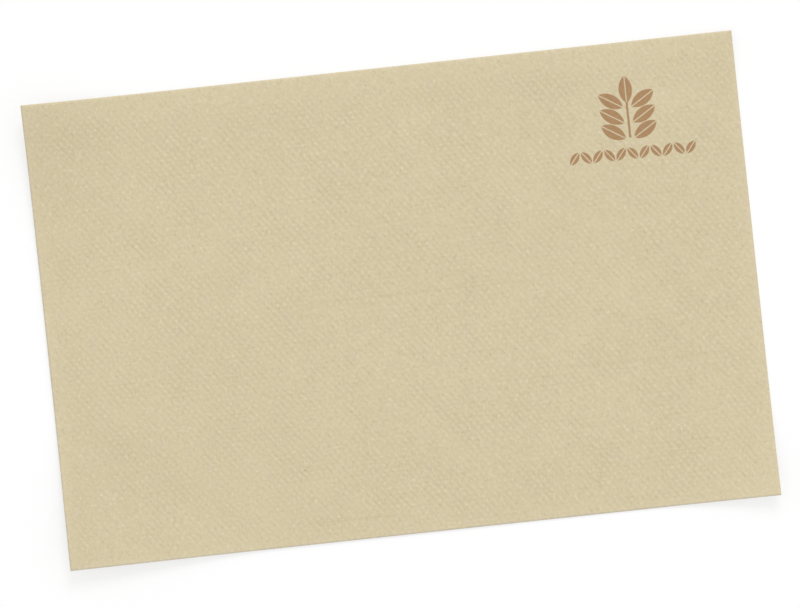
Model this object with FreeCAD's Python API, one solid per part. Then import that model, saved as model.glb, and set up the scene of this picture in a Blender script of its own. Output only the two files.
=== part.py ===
import FreeCAD, Part
import math
import os

# A plain paper napkin: one thin sheet, folded once in half and lying on a table.
# The fold is a soft roll along the back, the two layers lie almost together in the middle,
# and the corners curl up, each by its own amount. The sheet is one closed solid.
#
# Millimetres, Z up. X runs along the fold, and Y from the open edges in front to the fold.
# The origin is on the table, under the middle of the folded napkin.

# The folded sheet
folded_length = 165.0
folded_width = 108.0
sheet_thickness = 0.15

# The air between the two layers, in the middle and at the middle of the open edges
middle_gap = 0.12
open_edge_gap = 0.22

# The lower layer ends this far behind the upper one, because the fold isn't quite central
lower_edge_inset = 1.5

# The soft fold: how tall it stands, and how far in front of it the upper layer settles
fold_height = 1.0
fold_settle = 12.0

# Corner curls: how high the sheet stands at the corner, how far along the fold's direction
# and across it the curl reaches, and how far its tip levels off again, from 0 to 1
front_left_lift = 3.6
front_left_reach_along = 47.0
front_left_reach_across = 38.0
front_left_level_off = 1.0
back_left_lift = 5.2
back_left_reach_along = 30.0
back_left_reach_across = 42.0
back_left_level_off = 0.0
front_right_lift = 3.6
front_right_reach_along = 32.0
front_right_reach_across = 27.0
front_right_level_off = 0.0
back_right_lift = 0.6
back_right_reach_along = 26.0
back_right_reach_across = 24.0
back_right_level_off = 0.0

# The left edge stands a little off the table along its whole length
left_edge_lift = 0.3
left_edge_reach = 20.0

# At the open edges the lower layer rises by this share of the upper one's curl
lower_layer_follow = 0.35

# Fineness of the curved skins: the longest span in each direction, and the fold's spans
longest_span_along = 6.5
longest_span_across = 6.0
spans_round_fold = 8

# Share of the longest curl's reach that is kept clear of the flat patch underneath
clear_share_along = 0.6
clear_share_across = 0.45

# Worked out from the sizes above
half_length = folded_length / 2
half_width = folded_width / 2
fold_radius = fold_height / 2
fold_start = half_width - fold_radius
lower_length = fold_start + half_width - lower_edge_inset
fold_length = math.pi * (fold_radius - sheet_thickness / 2)
upper_length = fold_start + half_width
sheet_length = lower_length + fold_length + upper_length

# Each corner: its side along X and along Y, the curl's height, its two reaches, its levelling
CORNERS = (
    (-1, -1, front_left_lift, front_left_reach_along, front_left_reach_across, front_left_level_off),
    (-1, 1, back_left_lift, back_left_reach_along, back_left_reach_across, back_left_level_off),
    (1, -1, front_right_lift, front_right_reach_along, front_right_reach_across, front_right_level_off),
    (1, 1, back_right_lift, back_right_reach_along, back_right_reach_across, back_right_level_off),
)

# Degree of the curved skins, and how far apart two edges may lie and still be joined
DEGREE = 3
JOIN_TOLERANCE = 0.001

# A curved skin passes inside its control points, so those at the back of the fold stand out
ROUND_REACH = 3 / (2 + math.cos(math.pi / spans_round_fold))


def smooth_step(t):
    """Rises from 0 to 1 with a level start and end."""
    t = min(max(t, 0.0), 1.0)
    return t * t * (3 - 2 * t)


def curl(x, y):
    """How far the sheet stands up at (x, y).

    Each corner bends about a slanting line, so the paper curls without stretching. The bend is
    even all the way to the tip, or turns back towards it where the tip levels off.
    """
    height = left_edge_lift * max(0.0, 1 - (x + half_length) / left_edge_reach) ** 2
    for side_x, side_y, lift, reach_along, reach_across, level_off in CORNERS:
        from_end = half_length - side_x * x
        from_edge = half_width - side_y * y
        past_line = max(0.0, 1 - from_end / reach_along - from_edge / reach_across)
        height += lift * past_line**2 * (1 + 2 * level_off * (1 - past_line))
    return height


def follow(y):
    """The lower layer's share of the curl: all of it at the fold, less at the open edges."""
    return lower_layer_follow + (1 - lower_layer_follow) * smooth_step((y + half_width) / folded_width)


def upper_layer_height(y):
    """Height of the upper layer's underside where nothing curls."""
    opening = (open_edge_gap - middle_gap) * max(0.0, -y / half_width) ** 2
    stack = sheet_thickness + middle_gap + opening
    roll = fold_height - sheet_thickness
    return stack + (roll - stack) * smooth_step(1 - (fold_start - y) / fold_settle)


def sheet_point(x, along, inside):
    """A point of the folded sheet's outside or inside.

    along is the way along the sheet from its lower free edge, under the napkin, round the fold
    and back to its upper free edge.
    """
    past_fold = along - lower_length
    if past_fold < 0:
        y = fold_start + past_fold
        z = (sheet_thickness if inside else 0.0) + follow(y) * curl(x, y)
    elif past_fold <= fold_length:
        turn = math.pi * past_fold / fold_length
        radius = fold_radius - (sheet_thickness if inside else 0.0)
        y = fold_start + radius * ROUND_REACH * math.sin(turn)
        z = fold_radius - radius * math.cos(turn) + curl(x, y)
    else:
        y = fold_start + fold_length - past_fold
        z = upper_layer_height(y) + (0.0 if inside else sheet_thickness) + curl(x, y)
    return FreeCAD.Vector(x, y, z)


def even_stations(start, end, longest):
    """Evenly spaced stations from start to end, at most longest apart."""
    spans = math.ceil(abs(end - start) / longest)
    return [start + (end - start) * i / spans for i in range(spans + 1)]


def layer_stations(length):
    """Ways from the fold along a layer: close together at the fold, then evenly spaced."""
    step = fold_length / spans_round_fold
    near = [0.0]
    while step < longest_span_across:
        near.append(near[-1] + step)
        step *= 2
    return near + even_stations(near[-1], length, longest_span_across)[1:]


def stations_across():
    """Ways along the sheet from its lower free edge to its upper free edge."""
    lower = [lower_length - way for way in reversed(layer_stations(lower_length))]
    fold = [lower_length + fold_length * i / spans_round_fold for i in range(1, spans_round_fold)]
    upper = [lower_length + fold_length + way for way in layer_stations(upper_length)]
    lower[0] = 0.0
    upper[-1] = sheet_length
    return lower + fold + upper


def pole_stations(knots):
    """Where a curved skin's control points stand between its knots."""
    full = [knots[0]] * DEGREE + list(knots) + [knots[-1]] * DEGREE
    return [sum(full[i + 1 : i + 1 + DEGREE]) / DEGREE for i in range(len(knots) + DEGREE - 1)]


def skin(inside):
    """The whole outside or inside of the folded sheet as one curved surface."""
    knots_along = even_stations(-half_length, half_length, longest_span_along)
    knots_across = stations_across()
    poles = [
        [sheet_point(x, way, inside) for way in pole_stations(knots_across)]
        for x in pole_stations(knots_along)
    ]
    surface = Part.BSplineSurface()
    surface.buildFromPolesMultsKnots(
        poles,
        [DEGREE + 1] + [1] * (len(knots_along) - 2) + [DEGREE + 1],
        [DEGREE + 1] + [1] * (len(knots_across) - 2) + [DEGREE + 1],
        knots_along,
        knots_across,
        False,
        False,
        DEGREE,
        DEGREE,
    )
    return surface


def rest_patch():
    """Half sizes of the flat patch that the napkin rests on, clear of every curl."""
    reach_along = max(left_edge_reach, *(corner[3] for corner in CORNERS))
    reach_across = max(corner[4] for corner in CORNERS)
    half_x = half_length - clear_share_along * reach_along - DEGREE * longest_span_along
    half_y = half_width - clear_share_across * reach_across - DEGREE * longest_span_across
    return half_x, half_y


def pieces_of(curve, stations):
    """A curve's edges between the stations given."""
    return [curve.toShape(a, b) for a, b in zip(stations, stations[1:])]


def patches(surface, cuts_along, cuts_across):
    """A skin's faces between the cuts given, each with its place in the two rows of cuts."""
    faces = {}
    for i, (x0, x1) in enumerate(zip(cuts_along, cuts_along[1:])):
        for j, (way0, way1) in enumerate(zip(cuts_across, cuts_across[1:])):
            patch = surface.copy()
            patch.segment(x0, x1, way0, way1)
            faces[i, j] = patch.toShape()
    return faces


def flat_face(edges):
    """The flat face inside a ring of edges."""
    return Part.Face(Part.Wire(Part.__sortEdges__(edges)))


def napkin():
    """The folded sheet as one solid."""
    outside = skin(inside=False)
    inside = skin(inside=True)
    rest_x, rest_y = rest_patch()
    lower_edge_y = -half_width + lower_edge_inset
    ends = [-half_length, half_length]
    fold_zone = [
        lower_length - fold_settle,
        lower_length,
        lower_length + fold_length,
        lower_length + fold_length + fold_settle,
    ]
    inner_cuts = [0.0] + fold_zone + [sheet_length]
    outer_cuts = [0.0, -rest_y - lower_edge_y, rest_y - lower_edge_y] + fold_zone + [sheet_length]
    outer_cuts_along = [-half_length, -rest_x, rest_x, half_length]

    faces = list(patches(inside, ends, inner_cuts).values())
    outer_faces = patches(outside, outer_cuts_along, outer_cuts)
    corners = [(-rest_x, -rest_y), (rest_x, -rest_y), (rest_x, rest_y), (-rest_x, rest_y)]
    ring = [FreeCAD.Vector(x, y, 0) for x, y in corners + corners[:1]]
    outer_faces[1, 1] = Part.Face(Part.makePolygon(ring))
    faces += outer_faces.values()

    # The two ends, where the sheet was slit
    for x in ends:
        edges = pieces_of(outside.uIso(x), outer_cuts) + pieces_of(inside.uIso(x), inner_cuts)
        for way in (0.0, sheet_length):
            edges.append(Part.makeLine(outside.value(x, way), inside.value(x, way)))
        faces.append(flat_face(edges))

    # The lower and upper free edges, where the sheet was cut off
    for way in (0.0, sheet_length):
        edges = pieces_of(outside.vIso(way), outer_cuts_along) + pieces_of(inside.vIso(way), ends)
        for x in ends:
            edges.append(Part.makeLine(outside.value(x, way), inside.value(x, way)))
        faces.append(flat_face(edges))

    shell = Part.makeShell(faces)
    shell.sewShape(JOIN_TOLERANCE)
    solid = Part.Solid(Part.Shell(shell.Faces))
    if solid.Volume < 0:
        solid.reverse()
    return solid


os.makedirs("parts", exist_ok=True)
folded_sheet = napkin()
folded_sheet.exportStep("parts/folded_sheet.step")

box = folded_sheet.optimalBoundingBox()
print("valid", folded_sheet.isValid(), "closed", folded_sheet.isClosed())
print("faces", len(folded_sheet.Faces), "volume", round(folded_sheet.Volume, 1))
print("box", [round(v, 3) for v in (box.XMin, box.XMax, box.YMin, box.YMax, box.ZMin, box.ZMax)])
print("unfolded sheet", round(folded_length, 1), "by", round(sheet_length, 1))
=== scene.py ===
import math

import bmesh
import bpy
import numpy as np
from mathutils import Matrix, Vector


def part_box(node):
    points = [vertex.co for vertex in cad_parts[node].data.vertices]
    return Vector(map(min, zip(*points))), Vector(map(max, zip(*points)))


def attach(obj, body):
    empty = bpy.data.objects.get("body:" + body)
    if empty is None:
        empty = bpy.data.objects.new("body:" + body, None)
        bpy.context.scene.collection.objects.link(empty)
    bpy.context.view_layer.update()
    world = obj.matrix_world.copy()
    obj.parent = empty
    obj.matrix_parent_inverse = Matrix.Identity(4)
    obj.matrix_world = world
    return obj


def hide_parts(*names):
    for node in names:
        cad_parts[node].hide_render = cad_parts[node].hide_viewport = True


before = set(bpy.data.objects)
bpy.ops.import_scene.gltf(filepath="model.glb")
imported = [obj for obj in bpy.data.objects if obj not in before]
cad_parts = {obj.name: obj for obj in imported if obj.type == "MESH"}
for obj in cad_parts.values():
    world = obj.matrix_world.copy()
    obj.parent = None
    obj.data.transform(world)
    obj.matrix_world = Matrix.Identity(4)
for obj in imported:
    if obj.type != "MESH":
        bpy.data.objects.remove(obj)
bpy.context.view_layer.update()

# A paper napkin folded once in half, lying on a white surface and seen from straight above.
# Sizes are millimetres until a mesh or an object is made, and MM turns them into metres.
# X runs along the fold, Y from the open edges to the fold, Z up from the table.
MM = 0.001

# The mesh says with this name which of its points lie on the side that bears the print
PRINTED_SIDE = "printed_side"

# The sheet, as the frame has it
low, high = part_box("folded_sheet")
half_length = (high[0] - low[0]) / MM / 2
half_width = (high[1] - low[1]) / MM / 2
folded_width = 2 * half_width
sheet_thickness = 0.15
middle_gap = 0.12
open_edge_gap = 0.22
lower_edge_inset = 1.5
fold_height = 1.0
fold_settle = 12.0

# Corner curls: side along X, side along Y, height, reach along X, reach along Y, and how far
# the tip levels off again
corner_curls = (
    (-1, -1, 3.6, 47.0, 38.0, 1.0),
    (-1, 1, 5.2, 30.0, 42.0, 0.0),
    (1, -1, 3.6, 32.0, 27.0, 0.0),
    (1, 1, 0.6, 26.0, 24.0, 0.0),
)
left_edge_lift = 0.3
left_edge_reach = 20.0
lower_layer_follow = 0.35

# Worked out from the sheet's sizes
fold_radius = fold_height / 2
fold_start = half_width - fold_radius
fold_length = math.pi * (fold_radius - sheet_thickness / 2)
lower_length = fold_start + half_width - lower_edge_inset
upper_length = fold_start + half_width
sheet_length = lower_length + fold_length + upper_length

# The emboss, in cells with a raised dot at each corner and in the middle: how long and wide a cell
# is at most, its mesh steps each way, and how high the dots stand
cell_along = 1.637
cell_across = 2.13
steps_to_a_cell = 4
dot_height = 0.07

# Near the left, right, front and back edges the dots are faint up to the first distance, and full
# from the second
dot_fades = ((1.5, 4.8), (0.0, 4.5), (-2.5, 5.5), (3.0, 7.0))
faint_dots = 0.25

# The dots are patchy: each kind of patch with its size, share and seed, and the strength of the
# dots in the faintest patch and how much they gain in the clearest
dot_patches = ((24.0, 0.65, 11), (7.0, 0.35, 12))
patch_strength = (0.35, 1.3)

# The knife pinches the sheet at its cut edges: by how much, how far in, and where finer mesh steps
# stand for it
pinch_depth = 0.07
pinch_reach = 0.4
pinch_steps = (0.1, 0.25)

# Slow waves of the upper layer: height and length, large and small, and the least air that they
# leave between the layers
large_sway = (0.16, 45.0)
small_sway = (0.035, 14.0)
sway_seed = 5
least_gap = 0.02

# Colours as seen in the photo, 0 to 255
PAPER_DULL = (211, 198, 165)
PAPER_CLEAR = (214, 201, 168)
# Painted highlight for the bands along the edges and the fold
PAPER_HIGHLIGHT = (216, 203, 170)
# Painted shade for the thin line along the left and front cuts
PAPER_CUT_SHADE = (199, 189, 167)
PAPER_PALE = (233, 220, 188)
# Dark fibre wisps, and painted shade along the creases
FIBRE_DARK_AND_CREASE_SHADE = (188, 175, 142)
# Painted shade for the two curled left corners
PAPER_CORNER_SHADE = (205, 192, 160)
PAPER_YELLOW = (213, 199, 162)
PAPER_PINK = (213, 198, 170)
PALE_FLECK = (238, 229, 204)
DARK_FLECK = (140, 118, 86)
INK = (170, 132, 94)


def linear(colour, alpha=1.0):
    """A colour written as 0 to 255 turned into the linear one that a shader takes."""
    parts = [c / 255 for c in colour]
    return tuple(c / 12.92 if c <= 0.04045 else ((c + 0.055) / 1.055) ** 2.4 for c in parts) + (alpha,)


def smooth_step(t):
    t = np.clip(t, 0.0, 1.0)
    return t * t * (3 - 2 * t)


# Random hills repeat after so many, and are counted from this far before the middle of the sheet
hill_count = 64
hill_start = 200.0


def soft_noise(x, y, size, seed):
    """Smooth random hills from 0 to 1, about size apart."""
    table = np.random.default_rng(seed).random((hill_count, hill_count))
    u = x / size + hill_start
    v = y / size + hill_start
    i = np.floor(u).astype(int)
    j = np.floor(v).astype(int)
    a = smooth_step(u - i)
    b = smooth_step(v - j)
    i0 = i % hill_count
    j0 = j % hill_count
    i1 = (i + 1) % hill_count
    j1 = (j + 1) % hill_count
    near = table[i0, j0] * (1 - a) + table[i1, j0] * a
    far = table[i0, j1] * (1 - a) + table[i1, j1] * a
    return near * (1 - b) + far * b


def curl(x, y):
    """How far the sheet stands up, bent about a slanting line at each corner."""
    height = left_edge_lift * np.maximum(0.0, 1 - (x + half_length) / left_edge_reach) ** 2
    for side_x, side_y, lift, along, across, level_off in corner_curls:
        past_line = 1 - (half_length - side_x * x) / along - (half_width - side_y * y) / across
        past_line = np.maximum(0.0, past_line)
        height = height + lift * past_line**2 * (1 + 2 * level_off * (1 - past_line))
    return height


def follow(y):
    """The lower layer's share of the curl."""
    return lower_layer_follow + (1 - lower_layer_follow) * smooth_step((y + half_width) / folded_width)


def sway(x, y):
    """Slow waves of the upper layer, none at the fold. Where they sink, they end on the lower layer."""
    waves = 0.0
    for seed, (height, length) in enumerate((large_sway, small_sway), start=sway_seed):
        waves = waves + 2 * height * (soft_noise(x, y, length, seed) - 0.5)
    waves = np.maximum(waves, least_gap - middle_gap)
    return waves * smooth_step((fold_start - y) / fold_settle)


def upper_layer_height(y):
    """Height of the upper layer's underside where nothing curls."""
    opening = (open_edge_gap - middle_gap) * np.maximum(0.0, -y / half_width) ** 2
    stack = sheet_thickness + middle_gap + opening
    roll = fold_height - sheet_thickness
    return stack + (roll - stack) * smooth_step(1 - (fold_start - y) / fold_settle)


def edge_ways(x, y):
    """Distances from the left, right, front and back edges."""
    return x + half_length, half_length - x, y + half_width, half_width - y


def emboss_strength(x, y):
    """How high the dots are from place to place: patchy, and faint near the edges."""
    patches = sum(soft_noise(x, y, size, seed) * share for size, share, seed in dot_patches)
    faintest, gain = patch_strength
    fade = 1.0
    for way, (faint, full) in zip(edge_ways(x, y), dot_fades):
        fade = fade * smooth_step((way - faint) / (full - faint))
    return (faintest + gain * patches) * (faint_dots + (1 - faint_dots) * fade)


def dots(x, y):
    """Height of the emboss at (x, y)."""
    wave = np.cos(2 * np.pi * (x + half_length) / cell_x) * np.cos(2 * np.pi * (y + half_width) / cell_y)
    return dot_height * emboss_strength(x, y) * wave


def pinched(x, y):
    """How far the top of the sheet is pinched down at its cut edges."""
    from_cut = np.minimum(half_length - np.abs(x), y + half_width)
    return pinch_depth * np.maximum(0.0, 1 - from_cut / pinch_reach) ** 2


def sheet_points(x, along, inside, fine=False):
    """Points of the folded sheet's outside or inside, for a grid of x and ways along the sheet."""
    x, along = np.meshgrid(x, along, indexing="ij")
    past = along - lower_length
    y_lower = fold_start + past
    z_lower = (sheet_thickness if inside else 0.0) + follow(y_lower) * curl(x, y_lower)
    turn = np.pi * np.clip(past / fold_length, 0.0, 1.0)
    radius = fold_radius - (sheet_thickness if inside else 0.0)
    y_fold = fold_start + radius * np.sin(turn)
    z_fold = fold_radius - radius * np.cos(turn) + curl(x, y_fold)
    y_upper = fold_start + fold_length - past
    z_upper = upper_layer_height(y_upper) + curl(x, y_upper) + sway(x, y_upper)
    z_upper += 0.0 if inside else sheet_thickness
    if fine:
        z_upper += dots(x, y_upper) - pinched(x, y_upper)
    y = np.where(past < 0, y_lower, np.where(past <= fold_length, y_fold, y_upper))
    z = np.where(past < 0, z_lower, np.where(past <= fold_length, z_fold, z_upper))
    return np.stack([x, y, z], axis=-1)


class SheetMesh:
    """Collects points and faces of one closed mesh."""

    def __init__(self):
        self.points = []
        self.faces = []

    def grid(self, points):
        """Adds a grid of quads and returns the number of each of its points.

        Neighbouring quads are split along opposite diagonals, so that every dot is alike all round.
        """
        start = sum(len(p) for p in self.points)
        rows, columns = points.shape[:2]
        number = start + np.arange(rows * columns).reshape(rows, columns)
        self.points.append(points.reshape(-1, 3))
        quads = np.stack([number[:-1, :-1], number[1:, :-1], number[1:, 1:], number[:-1, 1:]], axis=-1)
        odd = np.add.outer(np.arange(rows - 1), np.arange(columns - 1)) % 2 == 1
        quads[odd] = np.roll(quads[odd], 1, axis=-1)
        self.faces += quads.reshape(-1, 4).tolist()
        return number

    def bridge(self, one, one_at, two, two_at):
        """Joins two rows of points, each with its places along the row, by triangles."""
        i = 0
        j = 0
        while i < len(one) - 1 or j < len(two) - 1:
            step_one = j == len(two) - 1 or (i < len(one) - 1 and one_at[i + 1] <= two_at[j + 1])
            if step_one:
                self.faces.append([int(one[i]), int(one[i + 1]), int(two[j])])
                i += 1
            else:
                self.faces.append([int(one[i]), int(two[j + 1]), int(two[j])])
                j += 1


def even(start, end, longest):
    """Evenly spaced places from start to end, at most longest apart."""
    return np.linspace(start, end, math.ceil(abs(end - start) / longest) + 1)


# Fine steps over the upper layer, so that whole cells fit the sheet and the mesh fits the cells
fine_x = even(-half_length, half_length, cell_along / steps_to_a_cell)
fine_way = even(lower_length + fold_length, sheet_length, cell_across / steps_to_a_cell)
cell_x = steps_to_a_cell * (fine_x[1] - fine_x[0])
cell_y = steps_to_a_cell * (fine_way[1] - fine_way[0])

# Finer steps by the cut edges
near_cut = np.array(pinch_steps)
by_cuts = np.concatenate([near_cut - half_length, half_length - near_cut])
fine_x = np.sort(np.concatenate([fine_x, by_cuts]))
fine_way = np.sort(np.concatenate([fine_way, sheet_length - near_cut]))

# Coarser steps elsewhere: along the outside and the inside, across the lower layer and the inside of
# the upper one, and round the fold. Just before and after the fold stand two closer rows, and the
# even steps start at the third distance.
outer_step = 1.8
inner_step = 2.6
lower_step = 3.4
outer_fold_steps = 12
inner_fold_steps = 8
by_fold = (0.8, 2.0, 4.0)

# Edges that bend more than this show as sharp
sharp_angle = math.radians(50)


def build_napkin():
    mesh = SheetMesh()
    nearest, nearer, near = by_fold
    coarse_x = even(-half_length, half_length, outer_step)
    inner_x = even(-half_length, half_length, inner_step)
    lower_way = np.concatenate(
        [even(0, lower_length - near, lower_step), [lower_length - nearer, lower_length - nearest]]
    )
    fold_way = lower_length + fold_length * np.linspace(0, 1, outer_fold_steps + 1)
    outer_way = np.concatenate([lower_way, fold_way[:-1]])
    inner_fold = lower_length + fold_length * np.linspace(0, 1, inner_fold_steps + 1)
    past_fold = inner_fold[-1]
    inner_upper = np.concatenate(
        [[past_fold + nearest, past_fold + nearer], even(past_fold + near, sheet_length, inner_step)]
    )
    inner_way = np.concatenate([lower_way, inner_fold, inner_upper])

    top = mesh.grid(sheet_points(fine_x, fine_way, inside=False, fine=True))
    back = mesh.grid(sheet_points(coarse_x, outer_way, inside=False))
    inner = mesh.grid(sheet_points(inner_x, inner_way, inside=True))

    # Round the fold, the fine skin meets the coarser one
    mesh.bridge(top[:, 0], fine_x, back[:, -1], coarse_x)

    # The two open edges
    mesh.bridge(top[:, -1], fine_x, inner[:, -1], inner_x)
    mesh.bridge(back[:, 0], coarse_x, inner[:, 0], inner_x)

    # The two slit ends
    way = np.concatenate([outer_way, fine_way])
    for end in (0, -1):
        mesh.bridge(np.concatenate([back[end], top[end]]), way, inner[end], inner_way)

    points = np.concatenate(mesh.points) * MM
    data = bpy.data.meshes.new("napkin")
    data.from_pydata(points.tolist(), [], mesh.faces)
    side = data.attributes.new(PRINTED_SIDE, "FLOAT", "POINT")
    side.data.foreach_set("value", (np.arange(len(points)) < top.size).astype(np.float32))
    work = bmesh.new()
    work.from_mesh(data)
    bmesh.ops.recalc_face_normals(work, faces=work.faces)
    work.to_mesh(data)
    work.free()
    data.shade_smooth()
    data.set_sharp_from_angle(angle=sharp_angle)
    data.validate()
    return data


class Graph:
    """Short ways to add shader nodes to a material."""

    def __init__(self, tree):
        self.tree = tree

    def add(self, kind, settings=None, inputs=None):
        node = self.tree.nodes.new(kind)
        for name, value in (settings or {}).items():
            setattr(node, name, value)
        for name, value in (inputs or {}).items():
            self.give(node.inputs[name], value)
        return node

    def give(self, socket, value):
        if isinstance(value, bpy.types.NodeSocket):
            self.tree.links.new(value, socket)
        else:
            socket.default_value = value

    def math(self, operation, a, b=0.0, clamp=False):
        node = self.add("ShaderNodeMath", {"operation": operation, "use_clamp": clamp})
        self.give(node.inputs[0], a)
        self.give(node.inputs[1], b)
        return node.outputs[0]

    def distance(self, a, b):
        """How far off a place is that lies a one way and b across it."""
        square = self.math("ADD", self.math("MULTIPLY", a, a), self.math("MULTIPLY", b, b))
        return self.math("SQRT", square)

    def vector(self, operation, a, b=None, scale=None):
        node = self.add("ShaderNodeVectorMath", {"operation": operation})
        self.give(node.inputs[0], a)
        if b is not None:
            self.give(node.inputs[1], b)
        if scale is not None:
            self.give(node.inputs["Scale"], scale)
        return node.outputs["Vector"]

    def ramp(self, value, start, end, low=0.0, high=1.0):
        node = self.add("ShaderNodeMapRange", {"interpolation_type": "SMOOTHSTEP", "clamp": True})
        names = ("Value", "From Min", "From Max", "To Min", "To Max")
        for name, part in zip(names, (value, start, end, low, high)):
            self.give(node.inputs[name], part)
        return node.outputs["Result"]

    def mix(self, share, a, b):
        node = self.add("ShaderNodeMix", {"data_type": "RGBA", "clamp_factor": True})
        self.give(node.inputs["Factor"], share)
        self.give(node.inputs[6], a)
        self.give(node.inputs[7], b)
        return node.outputs[2]

    def noise(self, where, scale, detail=2.0, roughness=0.5):
        node = self.add(
            "ShaderNodeTexNoise",
            {"noise_dimensions": "3D"},
            {"Vector": where, "Scale": scale, "Detail": detail, "Roughness": roughness},
        )
        return node.outputs["Fac"]


def leaf(graph, x, y, centre, angle, length, width):
    """How far inside a pointed leaf each place is, in millimetres; negative outside."""
    cos_a = math.cos(angle)
    sin_a = math.sin(angle)
    dx = graph.math("SUBTRACT", x, centre[0])
    dy = graph.math("SUBTRACT", y, centre[1])
    along = graph.math("ADD", graph.math("MULTIPLY", dx, cos_a), graph.math("MULTIPLY", dy, sin_a))
    across = graph.math("SUBTRACT", graph.math("MULTIPLY", dy, cos_a), graph.math("MULTIPLY", dx, sin_a))
    side = graph.math("ABSOLUTE", across)
    radius = (length**2 + width**2) / (4 * width)
    off = graph.math("ADD", side, radius - width / 2)
    inside = graph.math("SUBTRACT", radius, graph.distance(along, off))
    vein = graph.math("SUBTRACT", side, vein_half)
    return graph.math("MINIMUM", inside, vein)


# The print: a sprig with a leaf at its top and pairs of leaves below, each with a bare vein, and a
# band of small leaves under it that lean to either side in turn
sprig_centre = (56.7, 39.1)
sprig_leaf = (6.5, 3.1)
sprig_top = 3.9
sprig_pairs = 3
first_pair = 1.5
pair_pitch = 3.6
pair_out = 3.7
pair_lean = math.radians(58)
vein_half = 0.12
stem_half = 0.26
stem_half_length = 4.2
stem_down = 3.1
band_centre = (56.9, 28.2)
band_length = 29.7
band_pitch = 2.7
band_leaf = (3.6, 1.8)
band_tilt = math.radians(52)
print_blur = 0.07


def print_mask(graph, x, y):
    """1 where the ink is."""
    cx, cy = sprig_centre
    shapes = [leaf(graph, x, y, (cx, cy + sprig_top), math.pi / 2, *sprig_leaf)]
    for pair in range(sprig_pairs):
        for side in (-1, 1):
            place = (cx + side * pair_out, cy + first_pair - pair_pitch * pair)
            angle = math.pi / 2 - side * pair_lean
            shapes.append(leaf(graph, x, y, place, angle, *sprig_leaf))
    across_stem = graph.math("ABSOLUTE", graph.math("SUBTRACT", x, cx))
    along_stem = graph.math("ABSOLUTE", graph.math("SUBTRACT", y, cy - stem_down))
    within = graph.math("SUBTRACT", stem_half, across_stem)
    shapes.append(graph.math("MINIMUM", within, graph.math("SUBTRACT", stem_half_length, along_stem)))

    bx, by = band_centre
    steps = graph.math("DIVIDE", graph.math("SUBTRACT", x, bx - band_length / 2), band_pitch)
    cell = graph.math("FLOOR", steps)
    from_middle = graph.math("SUBTRACT", graph.math("SUBTRACT", steps, cell), 0.5)
    place = graph.math("MULTIPLY", from_middle, band_pitch)
    odd = graph.math("MODULO", graph.math("ABSOLUTE", cell), 2.0)
    sign = graph.math("SUBTRACT", 1.0, graph.math("MULTIPLY", odd, 2.0))
    up = graph.math("MULTIPLY", graph.math("SUBTRACT", y, by), sign)
    small = leaf(graph, place, up, (0.0, 0.0), band_tilt, *band_leaf)
    ends = graph.math("SUBTRACT", band_length / 2, graph.math("ABSOLUTE", graph.math("SUBTRACT", x, bx)))
    shapes.append(graph.math("MINIMUM", small, ends))

    inside = shapes[0]
    for shape in shapes[1:]:
        inside = graph.math("MAXIMUM", inside, shape)
    return graph.ramp(inside, -print_blur, print_blur)


# Random patterns: cells to a millimetre, detail, roughness
cloud_noise = (0.035, 4.0, 0.6)
mottle_noise = (0.3, 2.0, 0.6)
grain_noise = (1.6, 4.0, 0.7)
relief_noise = (2.6, 3.0, 0.6)
patch_noise = (0.09, 2.0, 0.6)
ink_noise = (3.0, 2.0, 0.5)

# Where on its pattern the clear tissue starts and ends, how far off the middle of theirs the tints of
# the mottle and the wisps of the grain are full, and their shares there. The ink is thinnest and full
# at the ends of its range.
cloud_range = (0.26, 0.74)
tint_reach = 0.3
tint_share = 0.6
grain_reach = 0.35
grain_share = 0.93
ink_range = (0.2, 0.8)
thin_ink = 0.86

# Painted highlight bands by the edges and the fold: width and share. The thin line of painted shade
# along the left and front cuts: its outer width, and the inner one where it is full.
edge_highlight = (2.2, 0.6)
fold_highlight = (14.0, 0.45)
fold_round = 2.0
cut_shade_line = 0.52
cut_shade_full = 0.15

# Painted shade on the two curled left corners: place along and across, reach, share
shaded_corners = ((-74.0, -42.0, 34.0, 0.45), (-80.0, 50.0, 34.0, 0.6))

# The relief of the fibres, how far they are drawn out and which way
fibre_relief = 0.08
fibre_stretch = 1.35
fibre_bearing = math.radians(-50)

# The finer relief of the dots: its height, where on the wave a dot starts and ends, and how far the
# dots lean across the sheet
dot_relief = 0.105
dot_edge = (-0.9, 0.95)
dot_lean = 0.1

# Its patches: where on their pattern the faintest and the clearest are, and the strength there
patch_range = (0.25, 0.75, 0.35, 1.5)

paper_roughness = 0.9
paper_specular = 0.15

# Painted shade along faint creases: left end, right end, way from the fold, strength
crease_shades = (
    (-77.0, -22.0, 31.0, 0.14),
    (-22.0, 33.0, 52.4, 0.18),
    (-30.0, -4.0, 103.2, 0.24),
    (33.0, 78.0, 73.5, 0.19),
)
crease_half = 0.4
crease_fade = 6.0

# Flecks: how they are bent (cells to a millimetre, by how much). Then for the pale and the dark ones:
# cells to a millimetre, share of the cells with one, its half size in cells, its strength. A fleck is
# full over its inner part.
fleck_bend = (0.8, 1.2)
fleck_core = 0.4
pale_flecks = (0.9, 0.10, 0.22, 0.4)
dark_flecks = (0.35, 0.03, 0.07, 0.75)


def flecks(graph, where, density, share, size, strength):
    """Small scattered spots, stretched this way and that as short fibres are."""
    bend_scale, bend_by = fleck_bend
    bent = graph.add(
        "ShaderNodeTexNoise",
        {"noise_dimensions": "3D"},
        {"Vector": where, "Scale": bend_scale, "Detail": 1.0},
    )
    shifted = graph.vector("ADD", where, graph.vector("SCALE", bent.outputs["Color"], scale=bend_by))
    cells = graph.add("ShaderNodeTexVoronoi", {"feature": "F1"}, {"Vector": shifted, "Scale": density})
    chance = graph.add("ShaderNodeSeparateXYZ", inputs={"Vector": cells.outputs["Color"]}).outputs["X"]
    chosen = graph.math("LESS_THAN", chance, share)
    spot = graph.ramp(cells.outputs["Distance"], size, fleck_core * size, 0.0, strength)
    return graph.math("MULTIPLY", chosen, spot)


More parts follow.
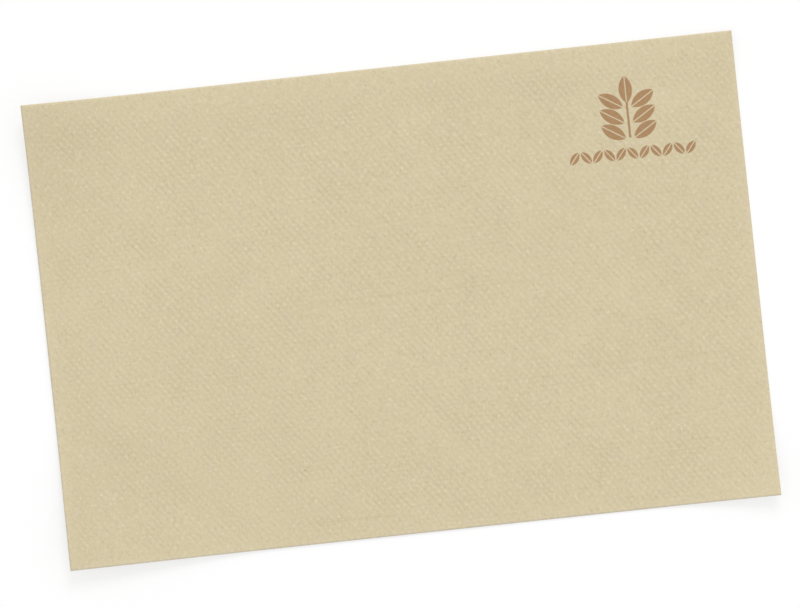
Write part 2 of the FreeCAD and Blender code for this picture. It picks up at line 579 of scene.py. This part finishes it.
def dot_pattern(graph, where, x, y, ways):
    """The finer relief of the emboss, as a share of its height: highest on the dots."""
    turn_x = graph.math("MULTIPLY", graph.math("ADD", x, half_length), 2 * math.pi / cell_x)
    turn_y = graph.math("MULTIPLY", graph.math("ADD", y, half_width), 2 * math.pi / cell_y)
    wave = graph.math("MULTIPLY", graph.math("COSINE", turn_x), graph.math("COSINE", turn_y))
    patches = graph.noise(where, *patch_noise)
    fade = 1.0
    for way, (faint, full) in zip(ways, dot_fades):
        fade = graph.math("MULTIPLY", graph.ramp(way, faint, full), fade)
    fade = graph.math("ADD", graph.math("MULTIPLY", fade, 1 - faint_dots), faint_dots)
    strength = graph.math("MULTIPLY", graph.ramp(patches, *patch_range), fade)
    leaning = graph.math("MULTIPLY", graph.math("SINE", graph.math("MULTIPLY", turn_y, 2.0)), dot_lean)
    return graph.math("MULTIPLY", graph.math("ADD", graph.ramp(wave, *dot_edge), leaning), strength)


def paper_material():
    material = bpy.data.materials.new("napkin_tissue")
    material.use_nodes = True
    tree = material.node_tree
    tree.nodes.clear()
    graph = Graph(tree)
    place = graph.add("ShaderNodeTexCoord").outputs["Object"]
    where = graph.vector("SCALE", place, scale=1 / MM)
    apart = graph.add("ShaderNodeSeparateXYZ", inputs={"Vector": where})
    x, y = apart.outputs["X"], apart.outputs["Y"]

    # Clouds of denser and thinner tissue, painted shade on the two curled left corners, and painted
    # highlight bands along the edges and the fold
    clouds = graph.noise(where, *cloud_noise)
    colour = graph.mix(graph.ramp(clouds, *cloud_range), linear(PAPER_DULL), linear(PAPER_CLEAR))
    # Painted shade, darker towards the two curled left corners
    for shade_x, shade_y, reach, share in shaded_corners:
        across = graph.math("SUBTRACT", x, shade_x)
        upward = graph.math("SUBTRACT", y, shade_y)
        way = graph.distance(across, upward)
        colour = graph.mix(graph.ramp(way, reach, 0.0, 0.0, share), colour, linear(PAPER_CORNER_SHADE))
    from_left, from_right = graph.math("ADD", x, half_length), graph.math("SUBTRACT", half_length, x)
    from_front, from_fold = graph.math("ADD", y, half_width), graph.math("SUBTRACT", half_width, y)
    ways = (from_left, from_right, from_front, from_fold)
    # Painted highlight, lighter towards the fold
    band, share = fold_highlight
    colour = graph.mix(graph.ramp(from_fold, band, fold_round, 0.0, share), colour, linear(PAPER_HIGHLIGHT))
    from_edge = graph.math(
        "MINIMUM",
        graph.math("MINIMUM", from_left, from_right),
        graph.math("MINIMUM", from_front, from_fold),
    )
    # Painted highlight, lighter towards every edge
    band, share = edge_highlight
    colour = graph.mix(graph.ramp(from_edge, band, 0.0, 0.0, share), colour, linear(PAPER_HIGHLIGHT))
    # Painted shade, a thin darker line along the left and front cuts
    from_cut = graph.math("MINIMUM", from_left, from_front)
    colour = graph.mix(graph.ramp(from_cut, cut_shade_line, cut_shade_full), colour, linear(PAPER_CUT_SHADE))

    mottle = graph.noise(where, *mottle_noise)
    yellow = graph.ramp(mottle, 0.5, 0.5 + tint_reach, 0.0, tint_share)
    pink = graph.ramp(mottle, 0.5, 0.5 - tint_reach, 0.0, tint_share)
    colour = graph.mix(yellow, colour, linear(PAPER_YELLOW))
    colour = graph.mix(pink, colour, linear(PAPER_PINK))

    # Matted fibres, drawn out a little across the sheet: pale wisps and dark wisps
    turned = graph.add(
        "ShaderNodeVectorRotate",
        {"rotation_type": "Z_AXIS"},
        {"Vector": where, "Angle": -fibre_bearing},
    )
    lengthwise = graph.vector("MULTIPLY", turned.outputs["Vector"], (1 / fibre_stretch, 1.0, 1.0))
    grain = graph.noise(lengthwise, *grain_noise)
    pale = graph.ramp(grain, 0.5, 0.5 + grain_reach, 0.0, grain_share)
    dark = graph.ramp(grain, 0.5, 0.5 - grain_reach, 0.0, grain_share)
    colour = graph.mix(pale, colour, linear(PAPER_PALE))
    colour = graph.mix(dark, colour, linear(FIBRE_DARK_AND_CREASE_SHADE))

    # Painted shade along faint creases across the sheet
    for left, right, from_fold_by, strength in crease_shades:
        off = graph.math("ABSOLUTE", graph.math("SUBTRACT", from_fold, from_fold_by))
        line = graph.ramp(off, crease_half, 0.0, 0.0, strength)
        started = graph.ramp(x, left, left + crease_fade)
        ended = graph.ramp(x, right, right - crease_fade)
        share = graph.math("MULTIPLY", line, graph.math("MULTIPLY", started, ended))
        colour = graph.mix(share, colour, linear(FIBRE_DARK_AND_CREASE_SHADE))

    # Short bits of bleached pulp, and a few dark ones
    colour = graph.mix(flecks(graph, where, *pale_flecks), colour, linear(PALE_FLECK))
    colour = graph.mix(flecks(graph, where, *dark_flecks), colour, linear(DARK_FLECK))

    # Ink, a little uneven
    uneven = graph.noise(where, *ink_noise)
    print_here = print_mask(graph, x, y)
    cover = graph.math("MULTIPLY", print_here, graph.ramp(uneven, *ink_range, thin_ink, 1.0))
    side = graph.add("ShaderNodeAttribute", {"attribute_name": PRINTED_SIDE}).outputs["Fac"]
    cover = graph.math("MULTIPLY", cover, graph.math("GREATER_THAN", side, 0.5))
    colour = graph.mix(cover, colour, linear(INK))

    # Fine relief of the fibres, and the dots of the emboss
    relief = graph.noise(lengthwise, *relief_noise)
    fibres = graph.add(
        "ShaderNodeBump",
        inputs={"Strength": 1.0, "Distance": fibre_relief * MM, "Height": relief},
    ).outputs["Normal"]
    bump = graph.add(
        "ShaderNodeBump",
        inputs={
            "Strength": 1.0,
            "Distance": dot_relief * MM,
            "Height": dot_pattern(graph, where, x, y, ways),
            "Normal": fibres,
        },
    ).outputs["Normal"]

    shader = graph.add(
        "ShaderNodeBsdfPrincipled",
        inputs={
            "Base Color": colour,
            "Roughness": paper_roughness,
            "Specular IOR Level": paper_specular,
            "Normal": bump,
        },
    )
    out = graph.add("ShaderNodeOutputMaterial")
    tree.links.new(shader.outputs["BSDF"], out.inputs["Surface"])
    return material


napkin = bpy.data.objects.new("napkin", build_napkin())
bpy.context.collection.objects.link(napkin)
napkin.data.materials.append(paper_material())
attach(napkin, "root")
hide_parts("folded_sheet")


# The floor, with its size in metres: plain white, and for the eye partly its own light, so that it
# shows white round a soft shadow
floor_size = 6.0
floor_glow_share = 0.66
floor_white = 0.9
floor_white_seen = 1.0


def build_floor():
    half = floor_size / 2
    data = bpy.data.meshes.new("floor")
    corners = [(-half, -half, 0), (half, -half, 0), (half, half, 0), (-half, half, 0)]
    data.from_pydata(corners, [], [(0, 1, 2, 3)])
    floor = bpy.data.objects.new("floor", data)
    bpy.context.collection.objects.link(floor)
    material = bpy.data.materials.new("floor_white")
    material.use_nodes = True
    tree = material.node_tree
    tree.nodes.clear()
    graph = Graph(tree)
    seen = eye_rays(graph)
    white = graph.math("ADD", floor_white, graph.math("MULTIPLY", seen, floor_white_seen - floor_white))
    matt = graph.add("ShaderNodeBsdfDiffuse", inputs={"Color": white})
    glow = graph.add("ShaderNodeEmission", inputs={"Strength": 1.0})
    share = graph.math("MULTIPLY", seen, floor_glow_share)
    mixed = graph.add("ShaderNodeMixShader")
    graph.give(mixed.inputs[0], share)
    tree.links.new(matt.outputs[0], mixed.inputs[1])
    tree.links.new(glow.outputs[0], mixed.inputs[2])
    out = graph.add("ShaderNodeOutputMaterial")
    tree.links.new(mixed.outputs[0], out.inputs["Surface"])
    data.materials.append(material)
    return floor


def eye_rays(graph):
    """1 for rays from the camera, and for those that gloss or glass sends on."""
    rays = graph.add("ShaderNodeLightPath")
    seen = graph.math("MAXIMUM", rays.outputs["Is Camera Ray"], rays.outputs["Is Glossy Ray"])
    return graph.math("MAXIMUM", seen, rays.outputs["Is Transmission Ray"])


build_floor()


# Plain soft light: an even white sky, and one broad lamp from beyond the top of the photo. Its
# bearing is from X, its distance and size are metres, and its power is watts.
sky_strength = 0.81
lamp_bearing = math.radians(75)
lamp_height = math.radians(45)
lamp_distance = 5.0
lamp_size = 2.1
lamp_power = 75.0


def build_sky():
    world = bpy.data.worlds.new("sky")
    bpy.context.scene.world = world
    world.use_nodes = True
    tree = world.node_tree
    tree.nodes.clear()
    graph = Graph(tree)
    seen = eye_rays(graph)
    strength = graph.math("ADD", sky_strength, graph.math("MULTIPLY", seen, 1.0 - sky_strength))
    light = graph.add("ShaderNodeBackground", inputs={"Color": (1, 1, 1, 1), "Strength": strength})
    out = graph.add("ShaderNodeOutputWorld")
    tree.links.new(light.outputs[0], out.inputs["Surface"])


def build_lamp():
    data = bpy.data.lights.new("soft_lamp", "AREA")
    data.shape = "SQUARE"
    data.size = lamp_size
    data.energy = lamp_power
    lamp = bpy.data.objects.new("soft_lamp", data)
    bpy.context.collection.objects.link(lamp)
    flat = math.cos(lamp_height)
    toward = (flat * math.cos(lamp_bearing), flat * math.sin(lamp_bearing), math.sin(lamp_height))
    lamp.location = [lamp_distance * part for part in toward]
    lamp.rotation_euler = (math.pi / 2 - lamp_height, 0, lamp_bearing + math.pi / 2)


build_sky()
build_lamp()


# The camera looks straight down from far off, from a height in metres. Its place comes from where
# the napkin lies in the photo: how many pixels right of the middle and above it, and its turn.
photo_width = 800
pixels_per_mm = 4.3235
napkin_right_of_middle = 1.15
napkin_above_middle = 3.1
napkin_turn = math.radians(6.1)
camera_height = 1.7
sensor_width = 36.0
seen_from = 0.01
seen_to = 50


def build_camera():
    data = bpy.data.cameras.new("camera")
    data.sensor_width = sensor_width
    frame_width = photo_width / pixels_per_mm * MM
    data.lens = sensor_width * camera_height / frame_width
    data.clip_start = seen_from
    data.clip_end = seen_to
    camera = bpy.data.objects.new("camera", data)
    bpy.context.collection.objects.link(camera)
    right = (math.cos(napkin_turn), -math.sin(napkin_turn))
    up = (math.sin(napkin_turn), math.cos(napkin_turn))
    step = MM / pixels_per_mm
    across = -napkin_right_of_middle * step
    upward = -napkin_above_middle * step
    camera.location = (
        across * right[0] + upward * up[0],
        across * right[1] + upward * up[1],
        camera_height,
    )
    camera.rotation_euler = (0, 0, -napkin_turn)
    bpy.context.scene.camera = camera


build_camera()
bpy.context.scene.view_settings.view_transform = "Standard"
